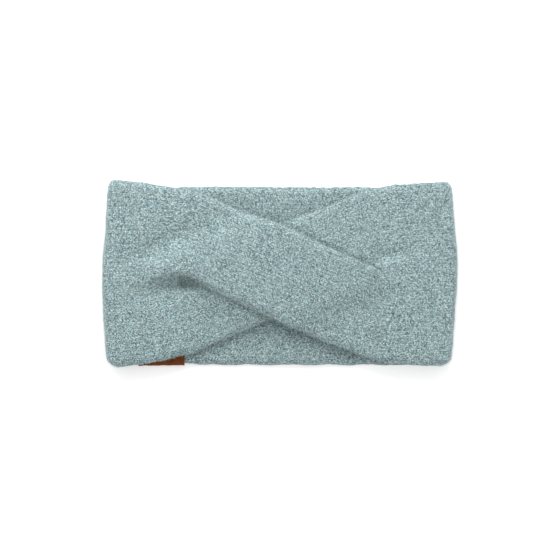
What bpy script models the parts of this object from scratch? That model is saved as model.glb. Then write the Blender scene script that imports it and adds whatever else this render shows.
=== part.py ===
"""Knitted headwrap with a crossed front, lying flat on its back band.

The wide band lies on the surface, turns up and over at both side folds and comes back over the front as
far as the two crotches. From there two straps of half its width go on. The over strap runs from upper
left to lower right and rides over the under strap, which runs from lower left to upper right. A leather
tab is folded over the back band's lower edge at the left.

X runs along the band, Y towards its upper edge and Z up. The origin is on the surface, below the middle.
"""

import math
from typing import NamedTuple

import bmesh
import bpy
import numpy as np

MM = 0.001

# Driving dimensions, in millimetres
FLAT_LENGTH = 229.7      # from side fold to side fold
SIDE_WIDTH = 121.2       # edge to edge at the side folds
FABRIC = 3.6             # wall of the double knit
HOLLOW = 4.8             # height of the head opening inside, lying flat
CROSSING_LENGTH = 132.0  # from crotch to crotch
STRAP_GAP = 0.4          # air between the straps where they cross
JOIN_GAP = 0.3           # air between solids that are linked together
ROOT_RUN = 8.0           # from a crotch to where the straps lie fully over each other
STEP_WIDTH = 4.0         # half width of the step in the fabric, at a crotch
STEP_SPREAD = 26.0       # the same at a side fold
DROP_RUN = 36.0          # in which the over strap sinks back beside the under strap
SIDE_BULGE = 4.0         # how far the left side fold swells out beyond its upper corner
UPPER_CORNER = 2.0       # corner radius at the upper ends of the side folds
LOWER_CORNER = 6.5       # corner radius at the lower ends
CORNER_RUN = 13.0        # how far from a side fold its corners still draw the edges in
TAB_INSET = 23.05        # from the band's left end to the tab's
TAB_LENGTH = 30.0
TAB_REACH = 10.5         # from the band's edge to the ends of the tab's leaves
TAB_LEATHER = 1.1
TAB_GAP = 0.3            # air between leather and fabric
TAB_MARGIN = 3.0         # how far round the tab the fabric still lies as it does under it
TAB_FADE = 9.0           # in which it then comes back to its own height
TAB_PINCH = 0.8          # how much thinner the fabric is under the tab
TAB_DENT = 1.2           # how far the tab draws the band's edge in

# Shares of those dimensions
STEP_START = 1.78        # place on the front where the step begins, see FrontRow
DROP_KEEP = 0.3          # share of its rise that the over strap keeps once it has sunk back
EASE_SHARE = 0.7         # share of the root's run in which the straps part in height
CORNER_START = 0.6       # share of a corner's rounding that is there where the side fold begins

FOLD_RADIUS = HOLLOW / 2 + FABRIC / 2
SPLIT = CROSSING_LENGTH / 2
FLAT_END = FLAT_LENGTH / 2 - FOLD_RADIUS - FABRIC / 2
HALF_WIDTH = SIDE_WIDTH / 2
FRONT_HEIGHT = FABRIC + HOLLOW + FABRIC / 2
RISE = FABRIC + STRAP_GAP
TAB_LEFT = TAB_INSET - FLAT_LENGTH / 2
TAB_RIGHT = TAB_LEFT + TAB_LENGTH


class FrontRow(NamedTuple):
    """One station of the front, from left to right.

    place is -2 and 2 where the side folds begin and -1 and 1 at the crotches. The edges are shares of
    the half width. Beyond the crotches the two inner edges are one line, where the step in height lies.
    """

    place: float
    over_up: float
    over_low: float
    under_up: float
    under_low: float


FRONT = (
    FrontRow(-2.00, 1.000, -0.112, -0.112, -1.000),
    FrontRow(-1.44, 0.956, -0.101, -0.101, -0.972),
    FrontRow(-1.00, 0.921, -0.054, -0.054, -0.911),
    FrontRow(-0.86, 0.889, -0.075, -0.010, -0.861),
    FrontRow(-0.64, 0.787, -0.210, 0.101, -0.759),
    FrontRow(-0.32, 0.637, -0.372, 0.323, -0.606),
    FrontRow(0.00, 0.523, -0.541, 0.516, -0.455),
    FrontRow(0.32, 0.362, -0.695, 0.640, -0.307),
    FrontRow(0.64, 0.198, -0.830, 0.776, -0.131),
    FrontRow(0.88, 0.084, -0.910, 0.903, -0.010),
    FrontRow(1.00, 0.032, -0.939, 0.939, 0.032),
    FrontRow(1.44, 0.069, -0.965, 0.954, 0.069),
    FrontRow(2.00, 0.081, -0.988, 0.979, 0.081),
)


class BackRow(NamedTuple):
    """One station of the back: its place, as a share of the flat stretch, and its edges, as above."""

    place: float
    up: float
    middle: float
    low: float


BACK = (
    BackRow(-1.00, 1.000, -0.112, -1.000),
    BackRow(-0.94, 0.984, -0.101, -0.985),
    BackRow(-0.80, 0.955, -0.076, -0.976),
    BackRow(-0.50, 0.934, -0.040, -0.973),
    BackRow(0.50, 0.932, 0.020, -0.973),
    BackRow(0.75, 0.942, 0.051, -0.976),
    BackRow(1.00, 0.979, 0.081, -0.988),
)


class SideRow(NamedTuple):
    """One place on the side folds, as a share of the half width, and how far each is drawn in there.

    left and right are shares of the bulge. They are 0 where a side fold reaches farthest out.
    """

    side: float
    left: float
    right: float


SIDES = (
    SideRow(-1.00, 0.90, 1.20),
    SideRow(-0.83, 0.54, 0.88),
    SideRow(-0.66, 0.38, 0.70),
    SideRow(-0.46, 0.16, 0.46),
    SideRow(-0.31, 0.06, 0.32),
    SideRow(-0.16, 0.01, 0.15),
    SideRow(0.11, 0.00, 0.00),
    SideRow(0.29, 0.25, 0.15),
    SideRow(0.44, 0.48, 0.35),
    SideRow(0.61, 0.60, 0.60),
    SideRow(0.81, 0.79, 0.80),
    SideRow(1.00, 1.00, 1.05),
)


class Fold(NamedTuple):
    """One soft fold of the front.

    place is as in FrontRow, side a share of the half width and turn an angle in degrees from X. length
    and width are shares of the half width, and height is a share of the fabric's thickness.
    """

    place: float
    side: float
    turn: float
    length: float
    width: float
    height: float


FOLDS = (
    Fold(-1.12, 0.354, 25.0, 0.42, 0.12, -0.22),
    Fold(-1.20, 0.081, 20.0, 0.34, 0.11, 0.20),
    Fold(1.42, 0.495, 70.0, 0.34, 0.10, -0.10),
    Fold(1.10, -0.434, 35.0, 0.40, 0.12, 0.12),
)

# Places across a wall, from its lower edge at -1 through its middle line to its upper edge at 1
BAND_COLUMNS = (
    -1, -0.93, -0.8, -0.63, -0.47, -0.3, -0.17, -0.07, 0, 0.07, 0.17, 0.3, 0.47, 0.63, 0.8, 0.93, 1,
)
STRAP_COLUMNS = (-1, -0.86, -0.68, -0.4, 0, 0.4, 0.68, 0.86, 1)
EDGE_ANGLES = (45, 0, -45)
SIDE_STATIONS = 9
FOLD_STEPS = 8
BACK_STATIONS = 7
STRAP_STATIONS = 24
TAB_STATIONS = 12
TAB_TURN_STEPS = 6


def smooth(share):
    """Smooth step: 0 below 0, 1 above 1, and level at both ends."""
    share = np.clip(share, 0, 1)
    return share * share * (3 - 2 * share)


def curve(places, values, at):
    """Smooth curve through the rows of a table: cubic between rows, with the rows' mean slopes."""
    places = np.asarray(places, float)
    values = np.asarray(values, float)
    slopes = np.gradient(values, places)
    row = np.clip(np.searchsorted(places, at) - 1, 0, len(places) - 2)
    run = places[row + 1] - places[row]
    share = (at - places[row]) / run
    rest = 1 - share
    start = values[row] + share * (2 * values[row] + run * slopes[row])
    end = values[row + 1] + rest * (2 * values[row + 1] - run * slopes[row + 1])
    return rest**2 * start + share**2 * end


def front_x(place):
    """X of a place on the front."""
    beyond = np.maximum(np.abs(place) - 1, 0)
    return np.sign(place) * (np.minimum(np.abs(place), 1) * SPLIT + beyond * (FLAT_END - SPLIT))


FRONT_X = front_x(np.array([row.place for row in FRONT]))
STEP_START_X = front_x(STEP_START)
BACK_X = np.array([row.place for row in BACK]) * FLAT_END
SIDE_PLACES = [row.side for row in SIDES]


def front_line(name, x):
    """Y of one of the front's edge lines at x."""
    return curve(FRONT_X, [getattr(row, name) for row in FRONT], x) * HALF_WIDTH


def back_line(name, x):
    """Y of one of the back's lines at x."""
    return curve(BACK_X, [getattr(row, name) for row in BACK], x) * HALF_WIDTH


def parted(x):
    """How far the straps have parted in height at x: 0 at a crotch, 1 past the root."""
    return np.sin(np.clip((SPLIT - abs(x)) / (EASE_SHARE * ROOT_RUN), 0, 1) * math.pi / 2)


def strap_edges(x):
    """The four edges of the straps at x: over strap's low and up, under strap's low and up.

    At a root the under strap's inner edge starts beside the over strap's, and then slips below it.
    """
    over_low = front_line("over_low", x)
    over_up = front_line("over_up", x)
    under_low = front_line("under_low", x)
    under_up = front_line("under_up", x)
    covered = smooth((SPLIT - abs(x)) / ROOT_RUN)
    if x < 0:
        over_low += JOIN_GAP / 2
        under_up = (1 - covered) * (over_low - JOIN_GAP) + covered * under_up
    else:
        over_up -= JOIN_GAP / 2
        under_low = (1 - covered) * (over_up + JOIN_GAP) + covered * under_low
    return over_low, over_up, under_low, under_up


def folds(x, y):
    """Height of the soft folds at x, y: each is a ridge or valley that dies out along and across."""
    height = np.zeros_like(y)
    for fold in FOLDS:
        turn = math.radians(fold.turn)
        right = x - front_x(fold.place)
        up = y - fold.side * HALF_WIDTH
        along = (right * math.cos(turn) + up * math.sin(turn)) / (fold.length * HALF_WIDTH)
        across = (up * math.cos(turn) - right * math.sin(turn)) / (fold.width * HALF_WIDTH)
        height += fold.height * FABRIC * np.exp(-(along**2) - across**2)
    return height


def sunk(beyond):
    """Share of its rise that the over strap keeps at a distance beyond the under strap's edge."""
    return 1 - (1 - DROP_KEEP) * smooth(beyond / DROP_RUN)


def step(inward, x):
    """The step in height across a crotch line, from 0 on the under side to 1 on the over side."""
    spread = smooth((abs(x) - SPLIT) / (FLAT_END - SPLIT))
    width = STEP_WIDTH + (STEP_SPREAD - STEP_WIDTH) * spread
    return 0.5 + 0.5 * np.tanh(inward / width)


def side_height(x, y):
    """Height of the fabric's middle on the front, between a side fold and its crotch."""
    inward = y - front_line("over_low", x) if x < 0 else front_line("over_up", x) - y
    grown = smooth((STEP_START_X - abs(x)) / (STEP_START_X - SPLIT))
    faded = smooth((FLAT_END - abs(x)) / (FLAT_END - STEP_START_X))
    rise = RISE * grown * step(inward, x) * sunk(np.maximum(inward, 0))
    return FRONT_HEIGHT + rise + faded * folds(x, y)


def over_height(x, y):
    """Height of the over strap's middle."""
    over_low, over_up, under_low, under_up = strap_edges(x)
    inward = y - over_low if x < 0 else over_up - y
    beyond = np.maximum(np.maximum(y - under_up, under_low - y), 0)
    apart = parted(x)
    raised = (1 - apart) * step(inward, x) + apart
    return FRONT_HEIGHT + RISE * raised * sunk(beyond) + folds(x, y)


def under_height(x, y):
    """Height of the under strap's middle."""
    over_low, over_up, _, _ = strap_edges(x)
    inward = y - over_low if x < 0 else over_up - y
    return FRONT_HEIGHT + RISE * (1 - parted(x)) * step(inward, x) + folds(x, y)


def near_tab(x, y, low):
    """How much the tab shapes the fabric at x, y: 1 between its leaves, fading to 0 around it."""
    aside = np.maximum(TAB_LEFT - x, x - TAB_RIGHT) - TAB_MARGIN
    upward = y - low - TAB_REACH - TAB_MARGIN
    return (1 - smooth(aside / TAB_FADE)) * (1 - smooth(upward / TAB_FADE))


def side_inset(side, y, low, up, away, reach, turned=0):
    """How far the wall is drawn in at y: as the table says, and rounded off at its corners.

    side is -1 or 1 and away the distance from where the side fold begins. What the table says dies out
    at reach, the corners sooner. turned is 0 on the flat and grows to 1 at the fold's outermost line,
    where the corners are roundest.
    """
    drawn = [row.left if side < 0 else row.right for row in SIDES]
    drawn = np.maximum(curve(SIDE_PLACES, drawn, y / HALF_WIDTH), 0)
    inset = (1 - away / reach) * SIDE_BULGE * drawn
    for radius, into in ((UPPER_CORNER, y - (up - UPPER_CORNER)), (LOWER_CORNER, low + LOWER_CORNER - y)):
        into = np.clip(into, 0, radius)
        rounding = radius - np.sqrt(radius**2 - into**2)
        share = CORNER_START + (1 - CORNER_START) * turned
        inset = inset + (1 - smooth(away / CORNER_RUN)) * share * rounding
    return inset


class Section(NamedTuple):
    """Points round one cross-section: their Y, the wall's middle there and how far off it they lie."""

    y: np.ndarray
    offset: np.ndarray


def section(low, middle, up, columns, thickness):
    """Cross-section of a wall with round edges. thickness is a function of Y."""
    low_half = thickness(np.array([low]))[0] / 2
    up_half = thickness(np.array([up]))[0] / 2
    shares = np.array(columns, float)
    below = middle - (low + low_half)
    above = (up - up_half) - middle
    across = middle + np.where(shares < 0, shares * below, shares * above)
    half = thickness(across) / 2
    half[0] = low_half
    half[-1] = up_half
    angles = np.radians(EDGE_ANGLES)
    y = np.concatenate((
        across,
        up - up_half + up_half * np.cos(angles),
        across[::-1],
        low + low_half - low_half * np.cos(angles),
    ))
    offset = np.concatenate((half, up_half * np.sin(angles), -half[::-1], -low_half * np.sin(angles)))
    return Section(y, offset)


def full_thickness(y):
    """The fabric's thickness where nothing presses on it."""
    return np.full_like(y, FABRIC)


def side_ring(x):
    """Cross-section of the band on the front, between a side fold and its crotch."""
    if x < 0:
        low, middle, up = (front_line(name, x) for name in ("under_low", "over_low", "over_up"))
    else:
        low, middle, up = (front_line(name, x) for name in ("over_low", "over_up", "under_up"))
    wall = section(low, middle, up, BAND_COLUMNS, full_thickness)
    side = math.copysign(1, x)
    inset = side_inset(side, wall.y, low, up, FLAT_END - abs(x), FLAT_END - SPLIT)
    return np.stack((x - side * inset, wall.y, side_height(x, wall.y) + wall.offset), axis=1)


def back_ring(x):
    """Cross-section of the band on the back. Its outer side is the underside."""
    low, middle, up = (back_line(name, x) for name in ("low", "middle", "up"))
    side = math.copysign(1, x)

    def drawn_in(y):
        return x - side * side_inset(side, y, low, up, FLAT_END - abs(x), FLAT_END)

    def thickness(y):
        return FABRIC - TAB_PINCH * near_tab(drawn_in(y), y, low)

    edge = low + TAB_DENT * near_tab(drawn_in(low), low, low)
    wall = section(edge, middle, up, BAND_COLUMNS, thickness)
    lifted = (TAB_LEATHER + TAB_GAP) * near_tab(drawn_in(wall.y), wall.y, low)
    middle_height = thickness(wall.y) / 2 + lifted
    return np.stack((drawn_in(wall.y), wall.y, middle_height - wall.offset), axis=1)


def fold_rings(side):
    """Cross-sections round one side fold, from the front to the back. side is -1 or 1."""
    x = side * FLAT_END
    low = back_line("low", x)
    middle = back_line("middle", x)
    up = back_line("up", x)
    wall = section(low, middle, up, BAND_COLUMNS, full_thickness)
    centre = FABRIC / 2 + FOLD_RADIUS
    reach = FOLD_RADIUS + wall.offset
    rings = []
    for number in range(1, FOLD_STEPS):
        angle = math.pi * number / FOLD_STEPS
        inset = side_inset(side, wall.y, low, up, 0, FLAT_END, math.sin(angle))
        across = x + side * (reach * math.sin(angle) - inset)
        height = centre + reach * math.cos(angle)
        rings.append(np.stack((across, wall.y, height), axis=1))
    return rings


def strap_ring(x, low, up, height):
    """Cross-section of a strap at x."""
    wall = section(low, (low + up) / 2, up, STRAP_COLUMNS, full_thickness)
    return np.stack((np.full_like(wall.y, x), wall.y, height(x, wall.y) + wall.offset), axis=1)


def lofted(name, rings, parent, material):
    """One closed solid through a row of cross-sections, with a flat face at each end."""
    mesh = bpy.data.meshes.new(name)
    shape = bmesh.new()
    loops = [[shape.verts.new(point * MM) for point in ring] for ring in rings]
    for first, second in zip(loops, loops[1:]):
        for here in range(len(first)):
            there = (here + 1) % len(first)
            shape.faces.new((first[here], first[there], second[there], second[here]))
    shape.faces.new(loops[0][::-1])
    shape.faces.new(loops[-1])
    bmesh.ops.triangulate(shape, faces=shape.faces)
    bmesh.ops.recalc_face_normals(shape, faces=shape.faces)
    shape.to_mesh(mesh)
    shape.free()
    mesh.materials.append(material)
    mesh.shade_smooth()
    mesh.set_sharp_from_angle(angle=math.radians(60))
    made = bpy.data.objects.new(name, mesh)
    bpy.context.collection.objects.link(made)
    made.parent = parent
    return made


def finish(name, colour, roughness):
    """A plain Principled material."""
    material = bpy.data.materials.new(name)
    material.use_nodes = True
    shader = material.node_tree.nodes["Principled BSDF"]
    shader.inputs["Base Color"].default_value = (*colour, 1)
    shader.inputs["Roughness"].default_value = roughness
    shader.inputs["Metallic"].default_value = 0
    return material


def clear_scene():
    """Remove what the scene holds."""
    for thing in list(bpy.data.objects):
        bpy.data.objects.remove(thing)


def build_band(parent, knit):
    """The band, from the left crotch round the back to the right crotch."""
    outward = np.linspace(SPLIT, FLAT_END, SIDE_STATIONS)
    tab_places = np.linspace(TAB_LEFT - TAB_FADE, TAB_RIGHT + TAB_FADE, TAB_STATIONS)
    back = sorted({*np.linspace(-FLAT_END, FLAT_END, BACK_STATIONS), *tab_places})
    rings = [side_ring(-x) for x in outward]
    rings += fold_rings(-1)
    rings += [back_ring(x) for x in back]
    rings += fold_rings(1)[::-1]
    rings += [side_ring(x) for x in outward[::-1]]
    return lofted("back_band", rings, parent, knit)


def build_straps(parent, knit_over, knit_under):
    """The two straps, from crotch to crotch, with stations closer together at their roots."""
    reach = SPLIT - JOIN_GAP
    stations = [-reach * math.cos(math.pi * number / STRAP_STATIONS) for number in range(STRAP_STATIONS + 1)]
    over = []
    under = []
    for x in stations:
        over_low, over_up, under_low, under_up = strap_edges(x)
        over.append(strap_ring(x, over_low, over_up, over_height))
        under.append(strap_ring(x, under_low, under_up, under_height))
    lofted("over_strap", over, parent, knit_over)
    lofted("under_strap", under, parent, knit_under)


def build_tab(parent, leather):
    """The leather tab: a strip bent round the band's lower edge, with a leaf above and a leaf below."""
    pressed = FABRIC - TAB_PINCH
    inner = pressed / 2 + TAB_GAP
    centre = TAB_LEATHER + inner
    rings = []
    for x in np.linspace(TAB_LEFT, TAB_RIGHT, TAB_STATIONS // 2):
        edge = back_line("low", x) + TAB_DENT
        bend = edge + pressed / 2
        tip = edge + TAB_REACH - TAB_DENT
        angles = np.linspace(-math.pi / 2, -math.pi * 3 / 2, TAB_TURN_STEPS + 1)
        outline = []
        for radius, order in ((inner + TAB_LEATHER, 1), (inner, -1)):
            turn = [(bend + radius * math.cos(a), centre + radius * math.sin(a)) for a in angles[::order]]
            first = (tip, centre - order * radius)
            last = (tip, centre + order * radius)
            outline += [first, *turn, last]
        rings.append(np.array([(x, y, z) for y, z in outline]))
    return lofted("leather_tab", rings, parent, leather)


def main():
    """Build the headwrap."""
    clear_scene()
    headwrap = bpy.data.objects.new("headwrap", None)
    bpy.context.collection.objects.link(headwrap)
    build_band(headwrap, finish("knit of the band", (0.30, 0.41, 0.42), 0.95))
    knit_over = finish("knit of the over strap", (0.32, 0.43, 0.44), 0.95)
    knit_under = finish("knit of the under strap", (0.27, 0.37, 0.38), 0.95)
    build_straps(headwrap, knit_over, knit_under)
    build_tab(headwrap, finish("brown leather", (0.13, 0.045, 0.017), 0.6))
    bpy.context.view_layer.update()


main()
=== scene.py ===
"""Looks of a knitted headwrap with a crossed front, lying flat on its back band.

Each knitted wall is a skin of stockinette: a closed wall whose faces carry the wales and the rows of
stitches as relief, with the yarn and its fibres in the material. Short fibres stand out of the knit, and
a leather tab is sewn over the back band's lower edge. Sizes are in millimetres until a mesh is made.
"""

import logging
import math
from dataclasses import dataclass
from enum import Enum
from typing import Callable, NamedTuple

import bpy
import numpy as np
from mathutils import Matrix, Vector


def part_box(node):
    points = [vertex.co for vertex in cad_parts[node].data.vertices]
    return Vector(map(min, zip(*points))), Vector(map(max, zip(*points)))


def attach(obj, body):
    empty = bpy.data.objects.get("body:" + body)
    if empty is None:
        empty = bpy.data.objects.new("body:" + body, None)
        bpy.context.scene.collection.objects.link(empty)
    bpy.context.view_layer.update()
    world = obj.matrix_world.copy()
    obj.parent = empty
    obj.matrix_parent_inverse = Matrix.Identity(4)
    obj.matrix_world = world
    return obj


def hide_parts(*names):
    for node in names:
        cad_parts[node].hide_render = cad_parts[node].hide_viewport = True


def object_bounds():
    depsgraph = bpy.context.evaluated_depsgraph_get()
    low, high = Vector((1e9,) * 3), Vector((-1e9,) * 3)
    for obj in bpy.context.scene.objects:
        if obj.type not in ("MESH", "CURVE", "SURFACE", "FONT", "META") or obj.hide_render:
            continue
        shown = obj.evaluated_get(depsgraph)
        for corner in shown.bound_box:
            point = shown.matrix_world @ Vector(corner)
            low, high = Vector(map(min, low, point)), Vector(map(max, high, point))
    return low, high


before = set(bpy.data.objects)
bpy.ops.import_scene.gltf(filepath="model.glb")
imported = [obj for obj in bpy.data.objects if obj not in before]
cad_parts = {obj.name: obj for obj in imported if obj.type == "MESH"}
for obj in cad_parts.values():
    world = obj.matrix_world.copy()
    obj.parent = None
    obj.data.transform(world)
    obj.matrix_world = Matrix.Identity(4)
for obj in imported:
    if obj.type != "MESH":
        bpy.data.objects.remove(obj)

log = logging.getLogger("headwrap")
CAD_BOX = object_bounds()
MM = 0.001
TURN = 2 * math.pi

# Where the random draws start, for uneven lines and for fuzz
BACK_LINES_SEED = 10
SIDES_SEED = 31
TURN_FUZZ_SEED = 11
BACK_FUZZ_SEED = 15
STRAP_FUZZ_SEED = 21

Numbers = np.ndarray
Thickness = Callable[[Numbers], Numbers]
Colour = tuple[float, float, float]


class Side(Enum):
    """A side fold of the band, seen from above."""

    LEFT = -1
    RIGHT = 1


class Strap(Enum):
    """The two crossing straps. The value is the name of the strap's solid."""

    OVER = "over_strap"
    UNDER = "under_strap"


class FrontRow(NamedTuple):
    """One station of the front, from left to right.

    place is -2 and 2 where the side folds begin and -1 and 1 at the crotches. The edges are shares of
    the half width. Beyond the crotches the two inner edges are one line, where the step in height lies.
    """

    place: float
    over_up: float
    over_low: float
    under_up: float
    under_low: float


class BackRow(NamedTuple):
    """One station of the back: its place, as a share of the flat stretch, and its edges, as above."""

    place: float
    up: float
    middle: float
    low: float


class SideRow(NamedTuple):
    """One place on the side folds, as a share of the half width, and how far each is drawn in there.

    left and right are shares of the bulge. They are 0 where a side fold reaches farthest out.
    """

    side: float
    left: float
    right: float


class Fold(NamedTuple):
    """One soft fold of the front.

    place is as in FrontRow, side a share of the half width and turn an angle in degrees from X. length
    and width are shares of the half width, and height is a share of the fabric's thickness.
    """

    place: float
    side: float
    turn: float
    length: float
    width: float
    height: float


SIDES = tuple(SideRow(*row) for row in (
    (-1.00, 0.90, 1.20),
    (-0.83, 0.54, 0.88),
    (-0.66, 0.38, 0.70),
    (-0.46, 0.16, 0.46),
    (-0.31, 0.06, 0.32),
    (-0.16, 0.01, 0.15),
    (0.11, 0.00, 0.00),
    (0.29, 0.25, 0.15),
    (0.44, 0.48, 0.35),
    (0.61, 0.60, 0.60),
    (0.81, 0.79, 0.80),
    (1.00, 1.00, 1.05),
))

# The solids' rows, but with some values altered by up to 0.027 to follow the cloth's edges, and
# with six rows in place of the back's two where its upper edge bends
FRONT = tuple(FrontRow(*row) for row in (
    (-2.00, 1.000, -0.112, -0.112, -1.000),
    (-1.44, 0.956, -0.101, -0.101, -0.962),
    (-1.00, 0.905, -0.054, -0.054, -0.899),
    (-0.86, 0.889, -0.075, -0.010, -0.861),
    (-0.64, 0.787, -0.210, 0.101, -0.759),
    (-0.32, 0.637, -0.372, 0.323, -0.606),
    (0.00, 0.523, -0.541, 0.516, -0.455),
    (0.32, 0.362, -0.695, 0.640, -0.307),
    (0.64, 0.198, -0.830, 0.776, -0.131),
    (0.88, 0.084, -0.926, 0.890, -0.010),
    (1.00, 0.032, -0.966, 0.913, 0.032),
    (1.44, 0.069, -0.983, 0.950, 0.069),
    (2.00, 0.081, -0.988, 0.979, 0.081),
))

BACK = tuple(BackRow(*row) for row in (
    (-1.00, 1.000, -0.112, -1.000),
    (-0.94, 0.984, -0.101, -0.985),
    (-0.80, 0.955, -0.076, -0.976),
    (-0.66, 0.925, -0.058, -0.975),
    (-0.52, 0.934, -0.041, -0.973),
    (-0.40, 0.934, -0.034, -0.973),
    (0.40, 0.928, 0.014, -0.973),
    (0.52, 0.930, 0.022, -0.973),
    (0.64, 0.922, 0.037, -0.974),
    (0.75, 0.942, 0.051, -0.976),
    (1.00, 0.979, 0.081, -0.988),
))

# Folds that the solids have too
FOLDS = tuple(Fold(*row) for row in (
    (-1.12, 0.354, 25.0, 0.42, 0.12, -0.22),
    (-1.20, 0.081, 20.0, 0.34, 0.11, 0.20),
    (1.42, 0.495, 70.0, 0.34, 0.10, -0.10),
    (1.10, -0.434, 35.0, 0.40, 0.12, 0.12),
))

# Finer ones on the front, on its lower layer alone, and on the back
CREASES = tuple(Fold(*row) for row in (
    (-1.20, -0.165, 12.0, 0.27, 0.105, -1.05),
    (-1.18, -0.025, 6.0, 0.22, 0.055, 0.20),
    (-1.12, 0.354, 25.0, 0.46, 0.135, -0.65),
    (1.10, 0.088, 15.0, 0.18, 0.050, 0.42),
    (1.10, 0.180, 20.0, 0.18, 0.055, -0.40),
    (1.46, 0.300, 75.0, 0.34, 0.110, -0.26),
    (1.60, -0.300, -70.0, 0.40, 0.110, -0.20),
))

UNDER_CREASES = (Fold(-0.93, -0.090, -13.0, 0.18, 0.070, -1.50),)
BACK_FOLDS = (Fold(0.14, -0.76, -16.0, 0.40, 0.22, 0.62),)

# How far the knitted edges lie off the solids' own, in millimetres
OUTWARD = {
    "over_up": 0.45,
    "over_low": 1.5,
    "under_up": 0.9,
    "under_low": 0.55,
    "up": 0.1,
    "middle": 0.0,
    "low": -0.6,
    "fold_up": 0.1,
    "fold_middle": 0.0,
    "fold_low": 0.0,
    "left": 0.2,
    "right": 0.8,
}

# What each of the front's lines becomes at the left fold and at the right one
TURNED_LINES = {
    "over_up": ("fold_up", "fold_middle"),
    "over_low": ("fold_middle", "fold_low"),
    "under_up": ("fold_middle", "fold_up"),
    "under_low": ("fold_low", "fold_middle"),
}


def millimetres(box: tuple) -> tuple[Numbers, Numbers]:
    """A box's lowest and highest corner, in millimetres."""
    low, high = (np.array(corner) / MM for corner in box)
    return low, high


def smooth(share: Numbers) -> Numbers:
    """Smooth step: 0 below 0, 1 above 1, and level at both ends.

    Args:
        share: how far along the step each point is.

    Returns:
        The step's value there.
    """
    share = np.clip(share, 0, 1)
    return share * share * (3 - 2 * share)


def wander(at: Numbers, seed: int) -> Numbers:
    """Small unevenness along a line, from -1 to 1: waves of several lengths between 4 and 30 mm.

    Args:
        at: places along the line, in millimetres.
        seed: start of the random draws, one for each line.

    Returns:
        The unevenness there.
    """
    draw = np.random.default_rng(seed)
    lengths = draw.uniform(4, 30, 7)
    starts = draw.uniform(0, TURN, 7)
    return sum(np.sin(TURN * at / length + start) for length, start in zip(lengths, starts)) / 7


def column(rows: tuple, name: str) -> Numbers:
    """One column of a table."""
    return np.array([getattr(row, name) for row in rows])


def curve(places: Numbers, values: Numbers, at: Numbers) -> Numbers:
    """Smooth curve through the rows of a table: cubic between rows, with the rows' mean slopes.

    Args:
        places: where the rows are.
        values: what they say.
        at: where the curve is wanted.

    Returns:
        The curve's value at each of those places.
    """
    slopes = np.gradient(values, places)
    row = np.clip(np.searchsorted(places, at) - 1, 0, len(places) - 2)
    run = places[row + 1] - places[row]
    share = (at - places[row]) / run
    rest = 1 - share
    start = values[row] + share * (2 * values[row] + run * slopes[row])
    end = values[row + 1] + rest * (2 * values[row + 1] - run * slopes[row + 1])
    return rest**2 * start + share**2 * end


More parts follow.
